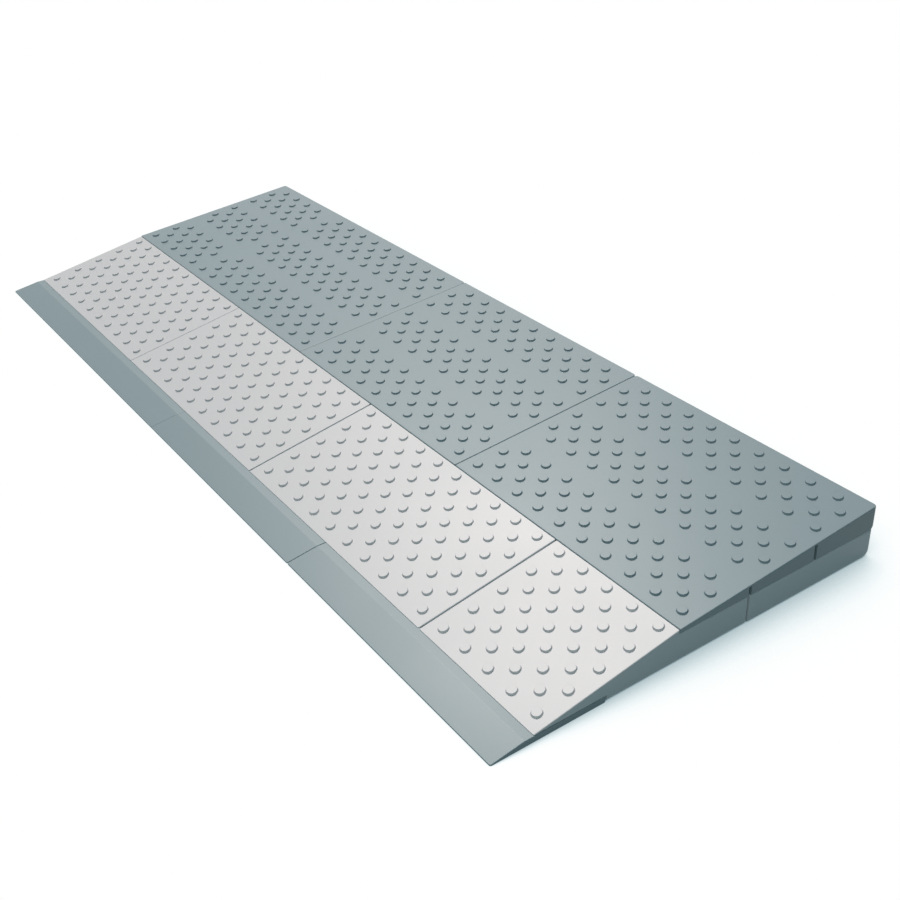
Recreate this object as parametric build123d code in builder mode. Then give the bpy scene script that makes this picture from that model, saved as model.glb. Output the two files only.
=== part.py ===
from build123d import *
import os
from math import atan2, cos, sin, tan

# A modular threshold ramp: moulded plastic modules laid in brick bond, in two layers.
# Millimetres. X runs along the width, Y from the front tip to the rear, Z up from the floor.
# The origin is on the floor, under the middle of the ramp.

# Layout of the modules
module_width = 240.0  # pitch of the full modules along the width
full_modules = 3  # full modules in each row, beside one half module
module_gap = 0.3  # gap between neighbouring modules
cell = 60.0  # pitch of the ribs under the modules
top_cells = 3  # depth of a top wedge, in cells
base_cells = 2  # depth of a base block, in cells

# Lip
lip_run = 24.5  # depth of the sloped face
lip_tip = 0.8  # height of the front edge
lip_band = 7.0  # flat band that stays bare in front of the front wedge
tongue_height = 4.5  # thickness of the flat tongue
tongue_reach = 54.5  # length of the tongue under the front wedge
tongue_slant = 1.5  # undercut at the tongue's rear end
tongue_clearance = 0.3  # gap between the tongue's end and the front wedge

# Slope of the front wedge
tread_run = 112.5  # depth seen from above
tread_nose = 0.8  # height of its front edge over the tongue
tread_rise = 2.2  # height of its rear edge over the lower layer
tread_gap = 0.2  # gap between the slope and the top wedge
tread_round = 0.5  # rounding of the slope's edges

# Front wedge, base block and top wedge
layer_height = 22.0  # height of the lower layer
top_nose = 3.2  # height of the top wedge's front edge over the lower layer
top_rise = 18.5  # height of the top wedge's rear edge over the lower layer
base_inset = 1.2  # how far the base block stays behind the rear face
base_round = 4.5  # rounding of the rear lower edge
corner_round = 2.2  # rounding of the upright rear corners
edge_round = 0.8  # rounding of the other edges that show
wall = 2.5
rib = 2.0
plate = 2.2  # thickness of the walking surface
rear_wall = 6.0  # wall of the base block behind its rounded edge
nose_solid = 8.0  # solid depth at the top wedge's front edge
front_solid = 22.0  # solid depth at the front wedge's front edge
cut_gap = 2.5  # gap between two cells, where a top wedge may be sawn
cut_skin = 0.8  # thickness left over that gap

# Studs of the walking surface
stud_pitch = 24.0  # between studs in a row
stud_row = 12.0  # between rows
stud_radius = 3.75
stud_height = 1.2
stud_taper = 18.0  # degrees
tread_stud_margin = 7.0  # from the top wedge to the front wedge's last row

# Pegs between the layers
peg_radius = 4.0
peg_clearance = 0.2
peg_up = 3.0  # length in the upper piece
peg_down = 6.0  # length in the lower piece
collar_radius = 6.0
collar_height = 1.0
boss_wall = 3.5
hole_spare = 0.3  # free depth past a peg's end

# Pegs between the lip and the front wedge
lip_peg_inset = 16.0  # from the tongue's rear end
lip_peg_up = 3.6  # length in the front wedge
lip_flange_radius = 8.0
lip_flange_height = 1.5
lip_flange_recess = 0.5  # height over the floor

# Quarter-turn locks between the base blocks and the top wedges
head_length = 19.0
head_width = 7.4
head_height = 3.0
lock_clearance = 0.3
flange_radius = 12.0
flange_height = 4.0
flange_clearance = 0.6  # between the flange and its well in the base block
grip_width = 2.5  # slot for a coin
grip_depth = 2.0
web = 3.0  # floor of the lock's tower in the top wedge
tower_wall = 3.0
head_room = 1.5  # free height over the lock's head

# Places worked out from the sizes
half_width = module_width / 2
width = module_width * full_modules + half_width
depth = lip_run + lip_band + tread_run + top_cells * cell
x_start = -width / 2
y_tip = -depth / 2
y_tread = y_tip + lip_run + lip_band
y_tongue = y_tread + tongue_reach
y_top = y_tread + tread_run
y_seam = y_top + (top_cells - base_cells) * cell
y_rear = y_top + top_cells * cell
y_lip_peg = y_tongue - lip_peg_inset
y_shelf_peg = y_top + cell / 2
y_base_peg = y_seam + cell / 2
y_lock = y_rear - cell / 2
tread_front = tongue_height + tread_nose
tread_rear = layer_height + tread_rise
top_front = layer_height + top_nose
rear_height = layer_height + top_rise
tread_angle = atan2(tread_rear - tread_front, tread_run)
top_angle = atan2(rear_height - top_front, y_rear - y_top)
boss_radius = peg_radius + boss_wall
cavity_radius = head_length / 2 + lock_clearance
tower_radius = cavity_radius + tower_wall
well_radius = flange_radius + flange_clearance
count_margin = 0.01  # keeps a whole count whole when it is rounded down


def row_of_modules(half_first):
    """Left end and width of each module in a row, with the half module at the left or the right."""
    widths = [module_width for _ in range(full_modules)]
    widths.insert(0 if half_first else full_modules, half_width)
    return [(x_start + sum(widths[:k]), module) for k, module in enumerate(widths)]


def peg_columns(span):
    """Places of the pegs and locks along a span: the middle of each half module."""
    return [(k + 0.5) * half_width for k in range(round(span / half_width))]


def cell_columns(module):
    """Middles and width of the pockets between the ribs of one module."""
    count = max(1, round(module / cell))
    first = module_gap / 2 + wall - rib / 2
    pitch = (module - 2 * first) / count
    return [first + (k + 0.5) * pitch for k in range(count)], pitch - rib


def tread_top(y):
    """Height of the front wedge's slope."""
    return tread_front + (y - y_tread) * tan(tread_angle)


def wedge_top(y):
    """Height of the top wedge's upper face."""
    return top_front + (y - y_top) * tan(top_angle)


def tread_plane():
    """Plane of the front wedge's slope, with its origin at the module's front corner."""
    upward = Vector(0, -sin(tread_angle), cos(tread_angle))
    return Plane(origin=(0, y_tread, tread_front), x_dir=(1, 0, 0), z_dir=upward)


def top_plane():
    """Plane of the top wedge's upper face, with its origin at the module's front corner."""
    upward = Vector(0, -sin(top_angle), cos(top_angle))
    return Plane(origin=(0, y_top, top_front), x_dir=(1, 0, 0), z_dir=upward)


def section(points, x=module_gap / 2):
    """Closed outline across the width, drawn in Y and Z at the place x of a module."""
    with BuildSketch(Plane.YZ.offset(x)) as outline:
        with BuildLine():
            Polyline(*points, close=True)
        make_face()
    return outline.sketch


def hollow(module, outline, rows, bosses):
    """The space under a module: pockets in rows, less the bosses, under an inner outline."""
    middles, pocket = cell_columns(module)
    inside = section(outline, 0)
    with BuildPart() as core:
        extrude(inside, amount=module)
        with BuildSketch(Plane.XY.offset(-wall)) as plan:
            for front, back in rows:
                with Locations(*[(x, (front + back) / 2) for x in middles]):
                    Rectangle(pocket, back - front)
            for point, radius in bosses:
                with Locations(point):
                    Circle(radius, mode=Mode.SUBTRACT)
        extrude(amount=rear_height + wall, mode=Mode.INTERSECT)
    return core.part


def keyholes(module, height):
    """Openings that let the locks' heads through when these lie along the width."""
    with BuildSketch(Plane.XY.offset(height)) as openings:
        with Locations(*[(x, y_lock) for x in peg_columns(module)]):
            Circle(cavity_radius)
        with Locations((module / 2, y_lock)):
            Rectangle(module, head_width + 2 * lock_clearance, mode=Mode.INTERSECT)
    return openings.sketch


def stud_points(module, rows, wide_first):
    """Places of the studs on one module, in rows of n and n - 1 studs in turn."""
    count = int(module / stud_pitch + count_margin)
    edge = (module - count * stud_pitch) / 2
    points = []
    for row, distance in rows:
        narrow = (row % 2 == 1) == wide_first
        for k in range(count - narrow):
            points.append((edge + (k + 0.5 + 0.5 * narrow) * stud_pitch, distance))
    return points


def front_rows():
    """Front and back of each row of pockets under a front wedge."""
    tongue_wall = y_tongue + tongue_clearance
    return [
        (y_tread + front_solid, tongue_wall - rib),
        (tongue_wall + wall, y_top - rib / 2),
        (y_top + rib / 2, y_seam - module_gap / 2 - wall),
    ]


def lip(module):
    """Front strip: a thin wedge with a flat tongue that runs under the front wedge."""
    outline = section(
        [
            (y_tip, 0),
            (y_tip, lip_tip),
            (y_tip + lip_run, tongue_height),
            (y_tongue, tongue_height),
            (y_tongue - tongue_slant, 0),
        ]
    )
    seats = [(x, y_lip_peg) for x in peg_columns(module)]
    with BuildPart() as strip:
        extrude(outline, amount=module - module_gap)
        with BuildSketch() as holes:
            with Locations(*seats):
                Circle(peg_radius + peg_clearance)
        extrude(amount=tongue_height, mode=Mode.SUBTRACT)
        with BuildSketch() as recesses:
            with Locations(*seats):
                Circle(lip_flange_radius + peg_clearance)
        extrude(amount=lip_flange_recess + lip_flange_height, mode=Mode.SUBTRACT)
    return strip.part


def tread_stud_rows():
    """Rows of studs on a front wedge, from the rear."""
    last_row = tread_run / cos(tread_angle) - tread_stud_margin
    row_count = int((last_row - stud_radius) / stud_row) + 1
    return [(row, last_row - row * stud_row) for row in range(row_count)]


def front_wedge(module):
    """Lower front module: a studded slope over the tongue, with a shelf behind for the top wedge."""
    step = y_top - tread_gap
    rear = y_seam - module_gap / 2
    tongue_wall = y_tongue + tongue_clearance
    outer = section(
        [
            (y_tread, tongue_height),
            (y_tread, tread_front),
            (step, tread_top(step)),
            (step, layer_height),
            (rear, layer_height),
            (rear, 0),
            (tongue_wall, 0),
            (tongue_wall, tongue_height),
        ]
    )
    inner = [
        (y_tread, -wall),
        (y_tread, tread_front - plate),
        (y_top, tread_rear - plate),
        (y_top, layer_height - plate),
        (rear, layer_height - plate),
        (rear, -wall),
    ]
    lip_seats = [(x, y_lip_peg) for x in peg_columns(module)]
    shelf_seats = [(x, y_shelf_peg) for x in peg_columns(module)]
    bosses = [(point, boss_radius) for point in lip_seats + shelf_seats]
    core = hollow(module, inner, front_rows(), bosses)
    with BuildPart() as body:
        extrude(outer, amount=module - module_gap)
        fillet(body.faces().filter_by(tread_plane()).edges(), radius=tread_round)
        fillet(body.edges().filter_by(Axis.Z).group_by(Axis.Y)[-1], radius=edge_round)
        add(core, mode=Mode.SUBTRACT)
        with BuildSketch(Plane.XY.offset(tongue_height)) as lip_sockets:
            with Locations(*lip_seats):
                Circle(peg_radius + peg_clearance)
        extrude(amount=lip_peg_up + hole_spare, mode=Mode.SUBTRACT)
        with BuildSketch(Plane.XY.offset(layer_height)) as collar_seats:
            with Locations(*shelf_seats):
                Circle(collar_radius + peg_clearance)
        extrude(amount=-collar_height, mode=Mode.SUBTRACT)
        with BuildSketch(Plane.XY.offset(layer_height - collar_height)) as shelf_sockets:
            with Locations(*shelf_seats):
                Circle(peg_radius + peg_clearance)
        extrude(amount=-peg_down - hole_spare, mode=Mode.SUBTRACT)
        with BuildSketch(tread_plane()) as studs:
            with Locations(*stud_points(module, tread_stud_rows(), wide_first=True)):
                Circle(stud_radius)
        extrude(amount=stud_height, taper=stud_taper)
    return body.part


def base_block(module):
    """Lower rear module under the tall part of the top wedges."""
    front = y_seam + module_gap / 2
    rear = y_rear - base_inset
    ceiling = layer_height - plate
    outer = section([(front, 0), (front, layer_height), (rear, layer_height), (rear, 0)])
    inner = [(front, -wall), (front, ceiling), (rear, ceiling), (rear, -wall)]
    rows = []
    for k in range(base_cells):
        start = front + wall if k == 0 else y_seam + k * cell + rib / 2
        end = rear - rear_wall if k == base_cells - 1 else y_seam + (k + 1) * cell - rib / 2
        rows.append((start, end))
    seats = [(x, y_base_peg) for x in peg_columns(module)]
    locks = [(x, y_lock) for x in peg_columns(module)]
    bosses = [(point, boss_radius) for point in seats] + [(point, well_radius + rib) for point in locks]
    core = hollow(module, inner, rows, bosses)
    openings = keyholes(module, ceiling)
    with BuildPart() as block:
        extrude(outer, amount=module - module_gap)
        lower_rear = block.edges().filter_by(Axis.X).group_by(Axis.Z)[0].sort_by(Axis.Y)[-1]
        fillet(lower_rear, radius=base_round)
        fillet(block.edges().filter_by(Axis.Z).group_by(Axis.Y)[-1], radius=corner_round)
        fillet(block.edges().filter_by(Axis.Z).group_by(Axis.Y)[0], radius=edge_round)
        add(core, mode=Mode.SUBTRACT)
        with BuildSketch() as wells:
            with Locations(*locks):
                Circle(well_radius)
        extrude(amount=ceiling, mode=Mode.SUBTRACT)
        extrude(openings, amount=plate, mode=Mode.SUBTRACT)
        with BuildSketch(Plane.XY.offset(layer_height)) as collar_seats:
            with Locations(*seats):
                Circle(collar_radius + peg_clearance)
        extrude(amount=-collar_height, mode=Mode.SUBTRACT)
        with BuildSketch(Plane.XY.offset(layer_height - collar_height)) as sockets:
            with Locations(*seats):
                Circle(peg_radius + peg_clearance)
        extrude(amount=-peg_down - hole_spare, mode=Mode.SUBTRACT)
    return block.part


def top_stud_rows():
    """Rows of studs on a top wedge, from the rear, with a bare row over each gap between cells."""
    slope_length = (y_rear - y_top) / cos(top_angle)
    cuts = [k * cell / cos(top_angle) for k in range(1, top_cells)]
    rows = []
    for row in range(int(slope_length / stud_row + count_margin) - 1):
        distance = slope_length - (row + 1) * stud_row
        if all(abs(distance - cut) > stud_row / 2 for cut in cuts):
            rows.append((row, distance))
    return rows


def top_wedge(module):
    """Upper module: a hollow wedge with studs, and gaps between its cells where it may be sawn."""
    outer = section(
        [
            (y_top, layer_height),
            (y_top, top_front),
            (y_rear, rear_height),
            (y_rear, layer_height),
        ]
    )
    inner = [
        (y_top, -wall),
        (y_top, top_front - plate),
        (y_rear, rear_height - plate),
        (y_rear, -wall),
    ]
    rows = []
    for k in range(top_cells):
        start = y_top + nose_solid if k == 0 else y_top + k * cell + cut_gap / 2 + rib
        end = y_rear - wall if k == top_cells - 1 else y_top + (k + 1) * cell - cut_gap / 2 - rib
        rows.append((start, end))
    seats = [(x, y) for y in (y_shelf_peg, y_base_peg) for x in peg_columns(module)]
    towers = [(x, y_lock) for x in peg_columns(module)]
    bosses = [(point, boss_radius) for point in seats] + [(point, tower_radius) for point in towers]
    core = hollow(module, inner, rows, bosses)
    openings = keyholes(module, layer_height)
    gaps = []
    for k in range(1, top_cells):
        front = y_top + k * cell - cut_gap / 2
        back = y_top + k * cell + cut_gap / 2
        gaps.append(
            section(
                [
                    (front, layer_height),
                    (front, wedge_top(front) - cut_skin),
                    (back, wedge_top(back) - cut_skin),
                    (back, layer_height),
                ]
            )
        )
    with BuildPart() as wedge:
        extrude(outer, amount=module - module_gap)
        fillet(wedge.edges().filter_by(Axis.Z).group_by(Axis.Y)[-1], radius=corner_round)
        fillet(wedge.faces().filter_by(top_plane()).edges(), radius=edge_round)
        add(core, mode=Mode.SUBTRACT)
        for gap in gaps:
            extrude(gap, amount=module - module_gap, mode=Mode.SUBTRACT)
        with BuildSketch(Plane.XY.offset(layer_height)) as sockets:
            with Locations(*seats):
                Circle(peg_radius + peg_clearance)
        extrude(amount=peg_up + hole_spare, mode=Mode.SUBTRACT)
        extrude(openings, amount=web, mode=Mode.SUBTRACT)
        with BuildSketch(Plane.XY.offset(layer_height + web)) as cavities:
            with Locations(*towers):
                Circle(cavity_radius)
        extrude(amount=lock_clearance + head_height + head_room, mode=Mode.SUBTRACT)
        with BuildSketch(top_plane()) as studs:
            with Locations(*stud_points(module, top_stud_rows(), wide_first=False)):
                Circle(stud_radius)
        extrude(amount=stud_height, taper=stud_taper)
    return wedge.part


def layer_pegs():
    """Collared pegs that hold the top wedges on the front wedges and on the base blocks."""
    seats = [(x_start + x, y) for y in (y_shelf_peg, y_base_peg) for x in peg_columns(width)]
    collar_base = layer_height - collar_height
    with BuildPart() as pegs:
        with BuildSketch(Plane.XY.offset(collar_base - peg_down)) as shanks:
            with Locations(*seats):
                Circle(peg_radius)
        extrude(amount=peg_down + collar_height + peg_up)
        with BuildSketch(Plane.XY.offset(collar_base)) as collars:
            with Locations(*seats):
                Circle(collar_radius)
        extrude(amount=collar_height)
    return pegs.part


def lip_pegs():
    """Flanged pegs pushed up through the tongues into the front wedges."""
    seats = [(x_start + x, y_lip_peg) for x in peg_columns(width)]
    with BuildPart() as pegs:
        with BuildSketch(Plane.XY.offset(lip_flange_recess)) as flanges:
            with Locations(*seats):
                Circle(lip_flange_radius)
        extrude(amount=lip_flange_height)
        with BuildSketch(Plane.XY.offset(lip_flange_recess)) as shanks:
            with Locations(*seats):
                Circle(peg_radius)
        extrude(amount=tongue_height + lip_peg_up - lip_flange_recess)
    return pegs.part


def turn_lock():
    """Quarter-turn lock, locked: a flange under the base block, a shank and a bar-shaped head."""
    seat = layer_height - plate
    head_base = layer_height + web + lock_clearance
    with BuildPart() as lock:
        with BuildSketch(Plane((0, y_lock, seat))) as flange:
            Circle(flange_radius)
        extrude(amount=-flange_height)
        with BuildSketch(Plane((0, y_lock, seat - flange_height))) as grip:
            Rectangle(2 * flange_radius, grip_width)
        extrude(amount=grip_depth, mode=Mode.SUBTRACT)
        with BuildSketch(Plane((0, y_lock, seat))) as shank:
            Circle(head_width / 2)
        extrude(amount=head_base - seat)
        with BuildSketch(Plane((0, y_lock, head_base))) as head:
            Circle(head_length / 2)
            Rectangle(head_width, head_length, mode=Mode.INTERSECT)
        extrude(amount=head_height)
    return lock.part


def write(part, name, x=0.0):
    """Put one piece in its place along the width, label it and write it to its own file."""
    piece = part.moved(Location((x, 0, 0)))
    piece.label = name
    export_step(piece, f"parts/{name}.step")


os.makedirs("parts", exist_ok=True)
module_rows = [
    ("lip", lip, True),
    ("front_wedge", front_wedge, False),
    ("base_block", base_block, False),
    ("top_wedge", top_wedge, True),
]
for name, make, half_first in module_rows:
    moulded = {module: make(module) for module in (half_width, module_width)}
    for number, (left, module) in enumerate(row_of_modules(half_first), start=1):
        write(moulded[module], f"{name}_{number}", left)
write(lip_pegs(), "lip_pegs")
write(layer_pegs(), "layer_pegs")
lock = turn_lock()
for number, x in enumerate(peg_columns(width), start=1):
    write(lock, f"turn_lock_{number}", x_start + x)
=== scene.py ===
"""Looks of a modular threshold ramp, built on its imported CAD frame.

The modules are built in millimetres in the ramp's own frame. Their finished meshes are in metres, and so are
the materials, the floor, the lights and the camera.
"""

import math

import bmesh
import bpy
from mathutils import Matrix, Vector


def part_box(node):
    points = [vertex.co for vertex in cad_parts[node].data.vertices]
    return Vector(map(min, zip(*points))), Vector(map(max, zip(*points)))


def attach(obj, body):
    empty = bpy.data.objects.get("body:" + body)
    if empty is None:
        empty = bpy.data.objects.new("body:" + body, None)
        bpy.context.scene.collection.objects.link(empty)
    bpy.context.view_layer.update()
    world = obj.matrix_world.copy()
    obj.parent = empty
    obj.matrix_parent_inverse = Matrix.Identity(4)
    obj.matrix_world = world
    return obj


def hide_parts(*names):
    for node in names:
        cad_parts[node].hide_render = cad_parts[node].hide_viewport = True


MM = 0.001

# Shape of the modules
CELL = 60.0
TOP_CELLS = 3
BASE_CELLS = 2
WALL = 2.5
RIB = 2.0
PLATE = 2.2  # between a module's top and its pockets
LIP_RUN = 24.5
LIP_TIP = 0.8
TONGUE_SLANT = 1.5
TONGUE_CLEARANCE = 0.3
TREAD_RUN = 112.5
TREAD_NOSE = 0.45  # pale slope's front edge over the tongue
TREAD_RISE = 2.55  # pale slope's rear edge over the lower layer
TREAD_GAP = 0.1  # between the pale slope and the top wedge
TREAD_OVERHANG = 0.2
SHADE_LINE_DEPTH = 0.35  # depth of the pale colour under the slope, below which the pale plastic's darker copy paints shade
TREAD_SIDE_INSET = 0.3
BLOCK_GAP = 0.3  # added between front wedge and base block
TOP_NOSE = 3.05  # top wedge's front edge over the lower layer
TOP_RISE = 18.5  # top wedge's rear edge over the lower layer
FRONT_SOLID = 22.0  # length without pockets behind the pale slope's front edge
NOSE_SOLID = 8.0  # length without pockets behind the top wedge's front edge
REAR_WALL = 6.0
CUT_GAP = 2.5  # between the cells of a top wedge
CUT_SKIN = 0.8  # over the gaps between the cells

# Rounded edges
EDGE_ROUND = 0.8
TOP_EDGE_ROUND = 0.5
NOSE_ROUND = 0.8
TREAD_EDGE_ROUND = 0.6
TREAD_CORNER_ROUND = 1.3
TIP_ROUND = 0.25
TIP_CORNER_ROUND = 1.3
BAND_ROUND = 3.0
SEAM_ROUND = 1.0
FOOT_ROUND = 2.5
LAYER_ROUND = 3.0
LAYER_EDGE_ROUND = 1.5
BLOCK_EDGE_ROUND = 2.0
JOINT_ROUND = 0.4
REAR_CORNER_ROUND = 3.2
BASE_ROUND = 4.5
ROUND_LIMIT = 0.45  # most of an edge that one rounding takes, as a share
ARC_STEPS = 4
SIDE_STEPS = 7

# Tight sides of modules, left and right: how far each reaches into the gap beside it. None is a loose side.
TIGHT_SIDES = {
    "lip_1": (None, 0.14),
    "lip_2": (0.14, None),
    "lip_3": (0.1, None),
    "front_wedge_2": (0.0, None),
    "top_wedge_1": (None, 0.14),
    "top_wedge_2": (0.14, None),
    "top_wedge_3": (-0.1, None),
}
LOOSE_SIDES = (None, None)

# Studs
STUD_PITCH = 24.0
STUD_ROW = 12.0
STUD_RADIUS = 3.85
STUD_HEIGHT = 1.2
STUD_TAPER = math.radians(24)
STUD_EDGE = 0.2
STUD_FILLET = 0.5
STUD_SINK = 0.01  # of the fillet's edge below the plate's surface
STUD_ROOT = 0.6  # depth of the stud's foot inside the plate
STUD_SIDES = 32
TREAD_STUD_MARGIN = 7.0  # from the last row to the pale slope's rear edge

# Pegs and locks
PEG_RADIUS = 4.2
PEG_UP = 3.3
PEG_DOWN = 6.3
COLLAR_RADIUS = 6.2
COLLAR_HEIGHT = 1.0
BOSS_RADIUS = 7.5
BOSS_SHORTFALL = 0.2  # between a boss and what the module stands on
LIP_PEG_INSET = 16.0
LIP_PEG_UP = 3.9
LIP_FLANGE_RADIUS = 8.2
LIP_FLANGE_TOP = 2.0
CAVITY_RADIUS = 9.8
CAVITY_HEIGHT = 4.8
KEYHOLE_WIDTH = 8.0
TOWER_RADIUS = 12.8
WELL_RADIUS = 12.6
WEB = 3.0  # under a lock's cavity
CIRCLE_SIDES = 48
PAST = 1.0  # how far a cutting tool goes past a surface

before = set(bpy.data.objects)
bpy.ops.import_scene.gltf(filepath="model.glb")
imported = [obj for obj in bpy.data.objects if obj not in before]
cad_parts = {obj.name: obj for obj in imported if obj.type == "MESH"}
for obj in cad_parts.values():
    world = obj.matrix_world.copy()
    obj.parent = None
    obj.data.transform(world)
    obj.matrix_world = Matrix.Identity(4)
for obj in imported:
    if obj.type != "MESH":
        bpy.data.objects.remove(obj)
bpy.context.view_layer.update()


def node_box(name):
    """Lowest and highest corner of a CAD node, in millimetres."""
    low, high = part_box(name)
    return low / MM, high / MM


LIP_LOW, LIP_HIGH = node_box("lip_2")
FRONT_LOW, FRONT_HIGH = node_box("front_wedge_2")
BASE_LOW, BASE_HIGH = node_box("base_block_2")
TOP_LOW, TOP_HIGH = node_box("top_wedge_2")
LAYER = BASE_HIGH.z
GAP = node_box("top_wedge_3")[0].x - TOP_HIGH.x
MODULE = TOP_HIGH.x - TOP_LOW.x + GAP
Y_TIP, Y_TONGUE, TONGUE = LIP_LOW.y, LIP_HIGH.y, LIP_HIGH.z
Y_TREAD, Y_SHELF_END = FRONT_LOW.y, FRONT_HIGH.y
Y_TOP, Y_REAR = TOP_LOW.y, TOP_HIGH.y
TREAD_FRONT = TONGUE + TREAD_NOSE
TREAD_SLOPE = (LAYER + TREAD_RISE - TREAD_FRONT) / TREAD_RUN
TOP_FRONT = LAYER + TOP_NOSE
TOP_SLOPE = (TOP_RISE - TOP_NOSE) / (Y_REAR - Y_TOP)
Y_LIP_PEG = Y_TONGUE - LIP_PEG_INSET
Y_SHELF_PEG = Y_TOP + CELL / 2
Y_BASE_PEG = Y_SHELF_PEG + CELL
Y_LOCK = Y_REAR - CELL / 2


def tread_top(y):
    """Height of the front wedge's slope."""
    return TREAD_FRONT + (y - Y_TREAD) * TREAD_SLOPE


def wedge_top(y):
    """Height of the top wedge's upper face."""
    return TOP_FRONT + (y - Y_TOP) * TOP_SLOPE


# Mesh building


def rounded(corners):
    """Outline with its corners (y, z, radius) turned into arcs."""
    outline = []
    for k, (y, z, radius) in enumerate(corners):
        here = Vector((y, z))
        if not radius:
            outline.append(here)
            continue
        before = Vector(corners[k - 1][:2]) - here
        after = Vector(corners[(k + 1) % len(corners)][:2]) - here
        half = before.angle(after) / 2
        reach = min(radius / math.tan(half), ROUND_LIMIT * min(before.length, after.length))
        before.normalize()
        after.normalize()
        centre = here + (before + after).normalized() * reach / math.cos(half)
        start = here + before * reach - centre
        end = here + after * reach - centre
        turn = start.angle_signed(end)
        for step in range(ARC_STEPS + 1):
            arm = start.copy()
            arm.rotate(Matrix.Rotation(-turn * step / ARC_STEPS, 2))
            outline.append(centre + arm)
    return outline


def add_loops(bm, loops):
    """Closed skin through loops of points, with both ends capped."""
    rings = [[bm.verts.new(point) for point in loop] for loop in loops]
    faces = [bm.faces.new(ring) for ring in (rings[0], rings[-1])]
    count = len(rings[0])
    for low, high in zip(rings, rings[1:]):
        for k in range(count):
            n = (k + 1) % count
            faces.append(bm.faces.new((low[k], low[n], high[n], high[k])))
    bmesh.ops.recalc_face_normals(bm, faces=faces)


def add_prism(bm, outline, left, right):
    """Prism along X from an outline in Y and Z."""
    add_loops(bm, [[(x, y, z) for y, z in outline] for x in (left, right)])


def add_column(bm, outline, bottom, top):
    """Prism along Z from an outline in X and Y."""
    add_loops(bm, [[(x, y, z) for x, y in outline] for z in (bottom, top)])


def circle(x, y, radius, sides):
    """Points of a circle in X and Y."""
    turns = [2 * math.pi * k / sides for k in range(sides)]
    return [(x + radius * math.cos(turn), y + radius * math.sin(turn)) for turn in turns]


def keyhole(x, y):
    """Points of a round opening with two flat sides along X."""
    low, high = y - KEYHOLE_WIDTH / 2, y + KEYHOLE_WIDTH / 2
    return [(px, max(low, min(high, py))) for px, py in circle(x, y, CAVITY_RADIUS, CIRCLE_SIDES)]


def add_stud(bm, place):
    """Closed tapered stud with a rounded upper edge and a filleted foot, sunk a little into its plate."""
    bend = math.pi / 2 - STUD_TAPER
    foot = STUD_FILLET * math.tan(bend / 2)
    edge = STUD_EDGE * math.tan(bend / 2)
    rim = STUD_RADIUS - STUD_HEIGHT * math.tan(STUD_TAPER)
    profile = [(STUD_RADIUS + foot, -STUD_ROOT)]
    for step in range(ARC_STEPS + 1):
        turn = bend * step / ARC_STEPS
        radius = STUD_RADIUS + foot - STUD_FILLET * math.sin(turn)
        profile.append((radius, STUD_FILLET * (1 - math.cos(turn)) - STUD_SINK))
    for step in range(ARC_STEPS + 1):
        turn = bend * (1 - step / ARC_STEPS)
        radius = rim - edge + STUD_EDGE * math.sin(turn)
        profile.append((radius, STUD_HEIGHT - STUD_EDGE * (1 - math.cos(turn))))
    rings = []
    for radius, height in profile:
        rings.append([place @ Vector((x, y, height)) for x, y in circle(0, 0, radius, STUD_SIDES)])
    add_loops(bm, rings)


def mesh_from(bm):
    """Blender mesh of a bmesh, which is freed."""
    mesh = bpy.data.meshes.new("part")
    bm.to_mesh(mesh)
    bm.free()
    return mesh


def combine(mesh, tools, operation):
    """Closed mesh joined with closed tools, or cut by them, as a new mesh."""
    solid = bpy.data.objects.new("solid", mesh)
    tool = bpy.data.objects.new("tools", mesh_from(tools))
    for item in (solid, tool):
        bpy.context.scene.collection.objects.link(item)
    modifier = solid.modifiers.new("combine", "BOOLEAN")
    modifier.object = tool
    modifier.operation = operation
    modifier.solver = "MANIFOLD"
    bpy.context.view_layer.update()
    graph = bpy.context.evaluated_depsgraph_get()
    result = bpy.data.meshes.new_from_object(solid.evaluated_get(graph))
    for item in (solid, tool):
        spent = item.data
        bpy.data.objects.remove(item)
        bpy.data.meshes.remove(spent)
    return result


def drawn_in(corners, depth):
    """Corners of a module's section at a depth from its side, where each edge has its own rounding."""
    lines = []
    for k, (y, z, _, side_round) in enumerate(corners):
        start = Vector((y, z))
        along = (Vector(corners[(k + 1) % len(corners)][:2]) - start).normalized()
        short = max(0.0, side_round - depth)
        inwards = side_round - math.sqrt(side_round ** 2 - short ** 2)
        lines.append((start + Vector((along.y, -along.x)) * inwards, along))
    section = []
    for k, (here, along) in enumerate(lines):
        last, before = lines[k - 1]
        meet = last + before * ((here - last).cross(along) / before.cross(along))
        section.append((meet.x, meet.y, corners[k][2]))
    return section


def outer_body(corners, width, tight, inset=0.0):
    """Mesh of a module's outer body, with its sides drawn in by an inset.

    The clockwise corners are (y, z, radius, rounding of the side edge that follows). A tight side, left or
    right, has no rounding, and a reach in place of the inset.
    """
    deepest = max(corner[3] for corner in corners)
    turns = [math.pi / 2 * step / SIDE_STEPS for step in range(SIDE_STEPS + 1)]
    depths = [deepest * (1 - math.cos(turn)) for turn in turns]
    sections = [rounded(drawn_in(corners, depth)) for depth in depths]
    left = [[(inset + x, y, z) for y, z in section] for x, section in zip(depths, sections)]
    right = [[(width - inset - x, y, z) for y, z in section] for x, section in zip(depths, sections)]
    if tight[0] is not None:
        left = [[(-tight[0], y, z) for y, z in sections[-1]]]
    if tight[1] is not None:
        right = [[(width + tight[1], y, z) for y, z in sections[-1]]]
    bm = bmesh.new()
    add_loops(bm, left + right[::-1])
    return mesh_from(bm)


# Layout inside a module, from its own left side


def peg_places(width, y):
    """Places of the pegs or locks of one row: the middle of each half module."""
    half = MODULE / 2
    return [((k + 0.5) * half - GAP / 2, y) for k in range(round((width + GAP) / half))]


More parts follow.
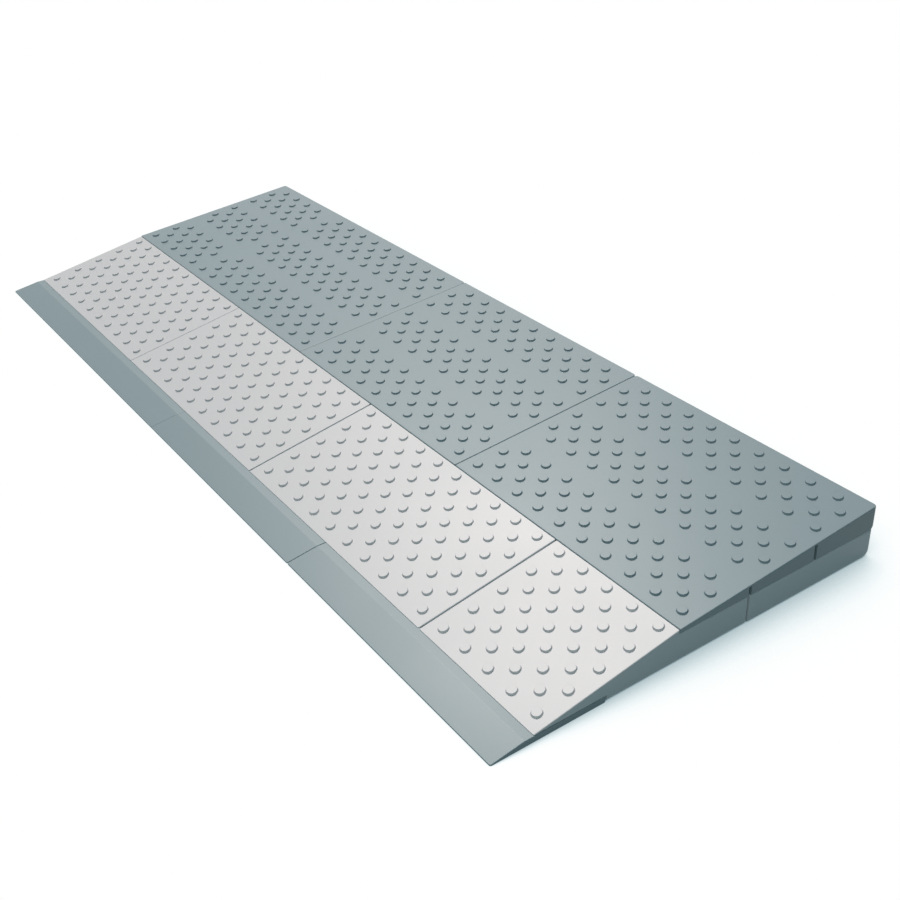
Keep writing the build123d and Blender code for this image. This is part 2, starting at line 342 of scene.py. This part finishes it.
def pocket_columns(width):
    """Left and right side of each pocket between the ribs."""
    count = round((width + GAP) / CELL)
    first = WALL - RIB / 2
    pitch = (width - 2 * first) / count
    return [(first + k * pitch + RIB / 2, first + (k + 1) * pitch - RIB / 2) for k in range(count)]


def pockets(width, rows, ceiling, floor):
    """Tools that cut the pockets under a module, below a ceiling that follows its top."""
    bm = bmesh.new()
    for left, right in pocket_columns(width):
        for front, back in rows:
            outline = [(front, floor), (front, ceiling(front)), (back, ceiling(back)), (back, floor)]
            add_prism(bm, outline, left, right)
    return bm


def columns(places, radius, bottom, top):
    """Round tools at several places."""
    bm = bmesh.new()
    for x, y in places:
        add_column(bm, circle(x, y, radius, CIRCLE_SIDES), bottom, top)
    return bm


def keyholes(places, bottom, top):
    """Tools that cut the openings for the locks' heads."""
    bm = bmesh.new()
    for x, y in places:
        add_column(bm, keyhole(x, y), bottom, top)
    return bm


def cut_layer_seats(mesh, seats):
    """Lower module with the seats of the layer pegs cut into its top."""
    socket = LAYER - COLLAR_HEIGHT - PEG_DOWN
    mesh = combine(mesh, columns(seats, COLLAR_RADIUS, LAYER - COLLAR_HEIGHT, LAYER + PAST), "DIFFERENCE")
    return combine(mesh, columns(seats, PEG_RADIUS, socket, LAYER + PAST), "DIFFERENCE")


def along_slope(run, slope):
    """Length on a slope above a level run."""
    return run * math.hypot(1, slope)


def stud_places(width, rows, wide_first):
    """Places of the studs along a module's slope, in rows of n and n - 1 in turn."""
    count = round((width + GAP) / STUD_PITCH)
    places = []
    for row, distance in rows:
        narrow = (row % 2 == 1) == wide_first
        for k in range(count - narrow):
            places.append(((k + 0.5 + 0.5 * narrow) * STUD_PITCH - GAP / 2, distance))
    return places


def with_studs(mesh, places, front, height, slope):
    """Module with studs standing on its slope, which begins at a front edge of some height."""
    corner = Matrix.Translation((0, front, height)) @ Matrix.Rotation(math.atan(slope), 4, "X")
    bm = bmesh.new()
    for x, distance in places:
        add_stud(bm, corner @ Matrix.Translation((x, distance, 0)))
    return combine(mesh, bm, "UNION")


# Modules


def lip_mesh(width, tight):
    """Thin front strip with a flat tongue under the front wedge."""
    mesh = outer_body(
        [
            (Y_TIP, 0.0, 0.0, TIP_CORNER_ROUND),
            (Y_TIP, LIP_TIP, TIP_ROUND, JOINT_ROUND),
            (Y_TIP + LIP_RUN, TONGUE, BAND_ROUND, JOINT_ROUND),
            (Y_TONGUE, TONGUE, TIP_ROUND, JOINT_ROUND),
            (Y_TONGUE - TONGUE_SLANT, 0.0, SEAM_ROUND, TIP_ROUND),
        ],
        width,
        tight,
    )
    seats = peg_places(width, Y_LIP_PEG)
    mesh = combine(mesh, columns(seats, PEG_RADIUS, -PAST, TONGUE + PAST), "DIFFERENCE")
    return combine(mesh, columns(seats, LIP_FLANGE_RADIUS, -PAST, LIP_FLANGE_TOP), "DIFFERENCE")


def front_wedge_mesh(width, tight):
    """Pale lower module: a studded slope over the tongue, with a shelf behind it."""
    step = Y_TOP - TREAD_GAP
    wall = Y_TONGUE + TONGUE_CLEARANCE
    nose = Y_TREAD - TREAD_OVERHANG
    mesh = outer_body(
        [
            (nose, TONGUE, 0.0, TREAD_CORNER_ROUND),
            (nose, tread_top(nose), TIP_ROUND, TREAD_EDGE_ROUND),
            (step, tread_top(step), TIP_ROUND, SEAM_ROUND),
            (step, LAYER, 0.0, LAYER_EDGE_ROUND),
            (Y_SHELF_END, LAYER, SEAM_ROUND, BLOCK_EDGE_ROUND),
            (Y_SHELF_END, 0.0, SEAM_ROUND, FOOT_ROUND),
            (wall, 0.0, JOINT_ROUND, EDGE_ROUND),
            (wall, TONGUE, 0.0, TIP_ROUND),
        ],
        width,
        tight,
        TREAD_SIDE_INSET,
    )
    slope_rows = [(Y_TREAD + FRONT_SOLID, wall - RIB), (wall + WALL, Y_TOP - RIB / 2)]
    shelf_rows = [(Y_TOP + RIB / 2, Y_SHELF_END - WALL)]
    mesh = combine(mesh, pockets(width, slope_rows, lambda y: tread_top(y) - PLATE, -PAST), "DIFFERENCE")
    mesh = combine(mesh, pockets(width, shelf_rows, lambda y: LAYER - PLATE, -PAST), "DIFFERENCE")
    lip_seats = peg_places(width, Y_LIP_PEG)
    shelf_seats = peg_places(width, Y_SHELF_PEG)
    lip_boss_top = tread_top(Y_LIP_PEG) - PLATE / 2
    mesh = combine(mesh, columns(lip_seats, BOSS_RADIUS, TONGUE + BOSS_SHORTFALL, lip_boss_top), "UNION")
    mesh = combine(mesh, columns(shelf_seats, BOSS_RADIUS, BOSS_SHORTFALL, LAYER - PLATE / 2), "UNION")
    mesh = combine(mesh, columns(lip_seats, PEG_RADIUS, TONGUE - PAST, TONGUE + LIP_PEG_UP), "DIFFERENCE")
    mesh = cut_layer_seats(mesh, shelf_seats)
    last = along_slope(TREAD_RUN, TREAD_SLOPE) - TREAD_STUD_MARGIN
    rows = [(row, last - row * STUD_ROW) for row in range(int((last - STUD_RADIUS) / STUD_ROW) + 1)]
    return with_studs(mesh, stud_places(width, rows, True), Y_TREAD, TREAD_FRONT, TREAD_SLOPE)


def base_block_mesh(width, tight):
    """Lower module under the tall part of the top wedges."""
    front, rear = BASE_LOW.y + BLOCK_GAP, BASE_HIGH.y
    mesh = outer_body(
        [
            (front, 0.0, SEAM_ROUND, TIP_ROUND),
            (front, LAYER, SEAM_ROUND, LAYER_EDGE_ROUND),
            (rear, LAYER, JOINT_ROUND, REAR_CORNER_ROUND),
            (rear, 0.0, BASE_ROUND, FOOT_ROUND),
        ],
        width,
        tight,
    )
    middle = Y_TOP + (TOP_CELLS - BASE_CELLS + 1) * CELL
    rows = [(front + WALL, middle - RIB / 2), (middle + RIB / 2, rear - REAR_WALL)]
    ceiling = LAYER - PLATE
    mesh = combine(mesh, pockets(width, rows, lambda y: ceiling, -PAST), "DIFFERENCE")
    seats = peg_places(width, Y_BASE_PEG)
    locks = peg_places(width, Y_LOCK)
    boss_top = LAYER - PLATE / 2
    mesh = combine(mesh, columns(seats, BOSS_RADIUS, BOSS_SHORTFALL, boss_top), "UNION")
    mesh = combine(mesh, columns(locks, WELL_RADIUS + RIB, BOSS_SHORTFALL, boss_top), "UNION")
    mesh = combine(mesh, columns(locks, WELL_RADIUS, -PAST, ceiling), "DIFFERENCE")
    mesh = combine(mesh, keyholes(locks, ceiling - PAST, LAYER + PAST), "DIFFERENCE")
    return cut_layer_seats(mesh, seats)


def cell_gaps(width):
    """Tools that cut the narrow gaps between the cells of a top wedge."""
    bm = bmesh.new()
    floor = LAYER - PAST
    for k in range(1, TOP_CELLS):
        front = Y_TOP + k * CELL - CUT_GAP / 2
        back = front + CUT_GAP
        ceiling = wedge_top(front) - CUT_SKIN
        outline = [(front, floor), (front, ceiling), (back, ceiling), (back, floor)]
        add_prism(bm, outline, -PAST, width + PAST)
    return bm


def top_stud_rows():
    """Number and distance of each row of studs on a top wedge, with none over the gaps between its cells."""
    slope_length = along_slope(Y_REAR - Y_TOP, TOP_SLOPE)
    cuts = [along_slope(k * CELL, TOP_SLOPE) for k in range(1, TOP_CELLS)]
    rows = []
    for row in range(round(slope_length / STUD_ROW) - 1):
        distance = slope_length - (row + 1) * STUD_ROW
        if all(abs(distance - cut) > STUD_ROW / 2 for cut in cuts):
            rows.append((row, distance))
    return rows


def top_wedge_mesh(width, tight):
    """Grey upper module: a hollow studded wedge with narrow gaps between its cells."""
    mesh = outer_body(
        [
            (Y_TOP, LAYER, 0.0, SEAM_ROUND),
            (Y_TOP, TOP_FRONT, NOSE_ROUND, TOP_EDGE_ROUND),
            (Y_REAR, wedge_top(Y_REAR), EDGE_ROUND, REAR_CORNER_ROUND),
            (Y_REAR, LAYER, LAYER_ROUND, TIP_ROUND),
        ],
        width,
        tight,
    )
    rows = []
    for k in range(TOP_CELLS):
        start = Y_TOP + (NOSE_SOLID if k == 0 else k * CELL + CUT_GAP / 2 + RIB)
        end = Y_TOP + (k + 1) * CELL - (WALL if k == TOP_CELLS - 1 else CUT_GAP / 2 + RIB)
        rows.append((start, end))
    foot = LAYER + BOSS_SHORTFALL
    web_top = LAYER + WEB
    locks = peg_places(width, Y_LOCK)
    seats = []
    mesh = combine(mesh, pockets(width, rows, lambda y: wedge_top(y) - PLATE, LAYER - PAST), "DIFFERENCE")
    for y in (Y_SHELF_PEG, Y_BASE_PEG):
        row = peg_places(width, y)
        seats.extend(row)
        mesh = combine(mesh, columns(row, BOSS_RADIUS, foot, wedge_top(y) - PLATE / 2), "UNION")
    mesh = combine(mesh, columns(locks, TOWER_RADIUS, foot, wedge_top(Y_LOCK) - PLATE / 2), "UNION")
    mesh = combine(mesh, cell_gaps(width), "DIFFERENCE")
    mesh = combine(mesh, columns(seats, PEG_RADIUS, LAYER - PAST, LAYER + PEG_UP), "DIFFERENCE")
    mesh = combine(mesh, keyholes(locks, LAYER - PAST, web_top + PAST), "DIFFERENCE")
    mesh = combine(mesh, columns(locks, CAVITY_RADIUS, web_top, web_top + CAVITY_HEIGHT), "DIFFERENCE")
    return with_studs(mesh, stud_places(width, top_stud_rows(), False), Y_TOP, TOP_FRONT, TOP_SLOPE)


# Materials

DRIFT_SCALE = 9.0
DRIFT_DETAIL = 3.0
GRAIN_SCALE = 1500.0
GRAIN_DETAIL = 2.0
GRAIN_STRENGTH = 0.25
GRAIN_DEPTH = 0.00008
SPECULAR_LEVEL = 0.21
MODULE_ROUGHNESS = 0.37
PEG_ROUGHNESS = 0.42
ROUGHNESS_SPREAD = 0.04
MIX_FIRST, MIX_SECOND, MIX_RESULT = 6, 7, 2  # colour sockets of a mix node


def new_material(name):
    """New node material with its Principled shader."""
    material = bpy.data.materials.new(name)
    material.use_nodes = True
    tree = material.node_tree
    return material, tree, tree.nodes["Principled BSDF"]


def node(tree, kind, inputs=(), **settings):
    """New node with its settings, and its inputs set to values or linked to other sockets."""
    made = tree.nodes.new(kind)
    for name, value in settings.items():
        setattr(made, name, value)
    for key, value in inputs:
        if isinstance(value, bpy.types.NodeSocket):
            tree.links.new(value, made.inputs[key])
        else:
            made.inputs[key].default_value = value
    return made


def noise(tree, where, scale, detail):
    """Socket of a noise texture."""
    inputs = [("Vector", where), ("Scale", scale), ("Detail", detail)]
    return node(tree, "ShaderNodeTexNoise", inputs).outputs["Fac"]


def moulded_plastic(name, colour, tint, roughness):
    """Moulded plastic that drifts softly between two close colours, with a fine grain."""
    material, tree, shader = new_material(name)
    place = node(tree, "ShaderNodeTexCoord").outputs["Object"]
    offset = node(tree, "ShaderNodeObjectInfo").outputs["Location"]
    where = node(tree, "ShaderNodeVectorMath", [(0, place), (1, offset)], operation="ADD").outputs[0]
    drift = noise(tree, where, DRIFT_SCALE, DRIFT_DETAIL)
    colours = [("Factor", drift), (MIX_FIRST, colour), (MIX_SECOND, tint)]
    mixed = node(tree, "ShaderNodeMix", colours, data_type="RGBA")
    tree.links.new(mixed.outputs[MIX_RESULT], shader.inputs["Base Color"])
    least, most = roughness - ROUGHNESS_SPREAD, roughness + ROUGHNESS_SPREAD
    rough = node(tree, "ShaderNodeMapRange", [("Value", drift), ("To Min", least), ("To Max", most)])
    tree.links.new(rough.outputs["Result"], shader.inputs["Roughness"])
    grain = noise(tree, where, GRAIN_SCALE, GRAIN_DETAIL)
    relief = [("Height", grain), ("Strength", GRAIN_STRENGTH), ("Distance", GRAIN_DEPTH)]
    bump = node(tree, "ShaderNodeBump", relief)
    tree.links.new(bump.outputs["Normal"], shader.inputs["Normal"])
    shader.inputs["Specular IOR Level"].default_value = SPECULAR_LEVEL
    return material


GREY = moulded_plastic("grey_moulded", (0.205, 0.269, 0.299, 1), (0.214, 0.280, 0.311, 1), MODULE_ROUGHNESS)
PALE = moulded_plastic("pale_moulded", (0.584, 0.567, 0.588, 1), (0.602, 0.585, 0.606, 1), MODULE_ROUGHNESS)
# Darker, cooler copy of the pale plastic: painted shade on the lower layer's sides, ends and base blocks,
# away from the pale slope
PALE_PAINTED_SHADE = moulded_plastic("pale_moulded_painted_shade", (0.485, 0.532, 0.566, 1), (0.5, 0.549, 0.584, 1), MODULE_ROUGHNESS)
DARK = moulded_plastic("dark_moulded", (0.045, 0.05, 0.055, 1), (0.06, 0.065, 0.07, 1), PEG_ROUGHNESS)

# Pieces

KINDS = [
    ("lip", lip_mesh, [GREY], "grey_plastic"),
    ("front_wedge", front_wedge_mesh, [PALE_PAINTED_SHADE, PALE], "pale_plastic"),
    ("base_block", base_block_mesh, [PALE_PAINTED_SHADE], "pale_plastic"),
    ("top_wedge", top_wedge_mesh, [GREY], "grey_plastic"),
]
MODULES = 4
SMOOTH_ANGLE = math.radians(40)


def on_tread(point):
    """Whether a point is on the front wedge's slope or on its studs."""
    return point.y < Y_TOP and point.z > tread_top(point.y) - SHADE_LINE_DEPTH


def finish_mesh(mesh, name, materials):
    """Mesh in metres, smooth but for its sharp edges, with the last of its materials on the pale slope."""
    mesh.name = name
    mesh.materials.clear()
    for material in materials:
        mesh.materials.append(material)
    for face in mesh.polygons:
        # Faces off the pale slope take the first material, for the lower layer the pale plastic's darker
        # copy with painted shade
        face.material_index = len(materials) - 1 if on_tread(face.center) else 0
    mesh.transform(Matrix.Scale(MM, 4))
    mesh.shade_smooth()
    mesh.set_sharp_from_angle(angle=SMOOTH_ANGLE)
    return mesh


def add_modules(kind, make, materials, slot):
    """Pieces for all modules of one kind, each in the place of its CAD node."""
    meshes = {}
    for name in [f"{kind}_{number}" for number in range(1, MODULES + 1)]:
        low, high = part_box(name)
        width = round((high.x - low.x) / MM, 3)
        tight = TIGHT_SIDES.get(name, LOOSE_SIDES)
        if (width, tight) not in meshes:
            meshes[width, tight] = finish_mesh(make(width, tight), f"{kind}_{width:.0f}", materials)
        piece = bpy.data.objects.new(f"{name}_moulding", meshes[width, tight])
        bpy.context.scene.collection.objects.link(piece)
        piece.location.x = low.x
        normals = piece.modifiers.new("normals", "WEIGHTED_NORMAL")
        normals.keep_sharp = True
        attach(piece, "ramp")
        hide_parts(name)


for kind in KINDS:
    add_modules(*kind)
for name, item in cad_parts.items():
    if "lock" in name or "peg" in name:
        item.data.materials.clear()
        item.data.materials.append(DARK)

# Floor, light and camera

FLOOR_REACH = 12.0
FLOOR_COLOUR = (0.06, 0.112, 0.122, 1)  # in the light that the floor throws back
SHADOW_REACH = 0.4
SHADOW_SAMPLES = 12
SHADOW_POWERS = (1.468, 1.171, 1.1)  # for red, green and blue
SHADOW_GAIN = 1.26
SKY_COLOUR = (0.5, 0.917, 1.0, 1)
SKY_STRENGTH = 0.216
WHITE = (1, 1, 1, 1)
WHITE_STRENGTH = 1.0
CAMERA_AZIMUTH = -34.247
CAMERA_ELEVATION = 31.125
CAMERA_ROLL = -2.309
CAMERA_PLACE = (0.82533, -0.44289, 0.51008)
CAMERA_SENSOR = 36.0
CAMERA_LENS = 48.99
CAMERA_SHIFT = (-0.0222, -0.0078)


def seen_directly(tree):
    """Socket that is 1 for what the camera sees, in gloss and through clear matter too."""
    path = node(tree, "ShaderNodeLightPath").outputs
    seen = path["Is Camera Ray"]
    for ray in ("Is Glossy Ray", "Is Transmission Ray"):
        seen = node(tree, "ShaderNodeMath", [(0, seen), (1, path[ray])], operation="MAXIMUM").outputs[0]
    return seen


def add_floor():
    """Pale floor that keeps the ramp's shadow, and looks white where it is open to the sky."""
    mesh = bpy.data.meshes.new("floor")
    far = FLOOR_REACH
    mesh.from_pydata([(-far, -far, 0), (far, -far, 0), (far, far, 0), (-far, far, 0)], [], [(0, 1, 2, 3)])
    floor = bpy.data.objects.new("floor", mesh)
    bpy.context.scene.collection.objects.link(floor)
    material, tree, shader = new_material("floor")
    tree.nodes.remove(shader)
    seen = seen_directly(tree)
    lit = node(tree, "ShaderNodeBsdfDiffuse", [("Color", FLOOR_COLOUR)]).outputs[0]
    reach = [("Distance", SHADOW_REACH)]
    shade = node(tree, "ShaderNodeAmbientOcclusion", reach, samples=SHADOW_SAMPLES).outputs["AO"]
    steps = [("POWER", 1, SHADOW_POWERS), ("SCALE", "Scale", SHADOW_GAIN), ("MINIMUM", 1, WHITE[:3])]
    for operation, key, value in steps:
        inputs = [(0, shade), (key, value)]
        shade = node(tree, "ShaderNodeVectorMath", inputs, operation=operation).outputs[0]
    white = node(tree, "ShaderNodeEmission", [("Color", shade), ("Strength", WHITE_STRENGTH)]).outputs[0]
    mixed = node(tree, "ShaderNodeMixShader", [(0, seen), (1, lit), (2, white)]).outputs[0]
    tree.links.new(mixed, tree.nodes["Material Output"].inputs["Surface"])
    mesh.materials.append(material)


def add_world():
    """White backdrop, which lights the ramp as a dim soft sky."""
    world = bpy.data.worlds.new("studio")
    bpy.context.scene.world = world
    world.use_nodes = True
    tree = world.node_tree
    seen = seen_directly(tree)
    sky = tree.nodes["Background"]
    sky.inputs["Color"].default_value = SKY_COLOUR
    sky.inputs["Strength"].default_value = SKY_STRENGTH
    white = node(tree, "ShaderNodeBackground", [("Color", WHITE), ("Strength", WHITE_STRENGTH)]).outputs[0]
    mixed = node(tree, "ShaderNodeMixShader", [(0, seen), (1, sky.outputs[0]), (2, white)]).outputs[0]
    tree.links.new(mixed, tree.nodes["World Output"].inputs["Surface"])


def outwards(azimuth, elevation):
    """Direction away from the ramp, by angles in degrees, with the azimuth from +X towards +Y."""
    turn, rise = math.radians(azimuth), math.radians(elevation)
    return Vector((math.cos(turn) * math.cos(rise), math.sin(turn) * math.cos(rise), math.sin(rise)))


def add_light(name, azimuth, elevation, distance, size, power, colour, shines):
    """Square soft light that faces the ramp, and shows in its gloss only if it shines."""
    away = outwards(azimuth, elevation)
    lamp = bpy.data.lights.new(name, "AREA")
    lamp.size = size
    lamp.energy = power
    lamp.color = colour
    light = bpy.data.objects.new(name, lamp)
    light.location = away * distance
    light.rotation_euler = (-away).to_track_quat("-Z", "Y").to_euler()
    light.visible_glossy = shines
    bpy.context.scene.collection.objects.link(light)


def add_camera():
    """Camera at the photograph's viewing angle."""
    lens = bpy.data.cameras.new("camera")
    lens.sensor_width = CAMERA_SENSOR
    lens.lens = CAMERA_LENS
    lens.shift_x, lens.shift_y = CAMERA_SHIFT
    camera = bpy.data.objects.new("camera", lens)
    camera.location = CAMERA_PLACE
    camera.rotation_mode = "QUATERNION"
    level = (-outwards(CAMERA_AZIMUTH, CAMERA_ELEVATION)).to_track_quat("-Z", "Y")
    roll = Matrix.Rotation(math.radians(CAMERA_ROLL), 3, "Z").to_quaternion()
    camera.rotation_quaternion = level @ roll
    bpy.context.scene.collection.objects.link(camera)
    bpy.context.scene.camera = camera


add_floor()
add_world()
add_light(
    "key",
    azimuth=154.0,
    elevation=50.0,
    distance=20.0,
    size=6.0,
    power=3945.0,
    colour=(1.0, 0.93, 0.88),
    shines=True,
)
add_light(
    "fill",
    azimuth=-42.0,
    elevation=12.0,
    distance=2.0,
    size=1.0,
    power=6.97,
    colour=(0.941, 1.0, 0.945),
    shines=False,
)
add_camera()
bpy.context.scene.view_settings.view_transform = "Standard"
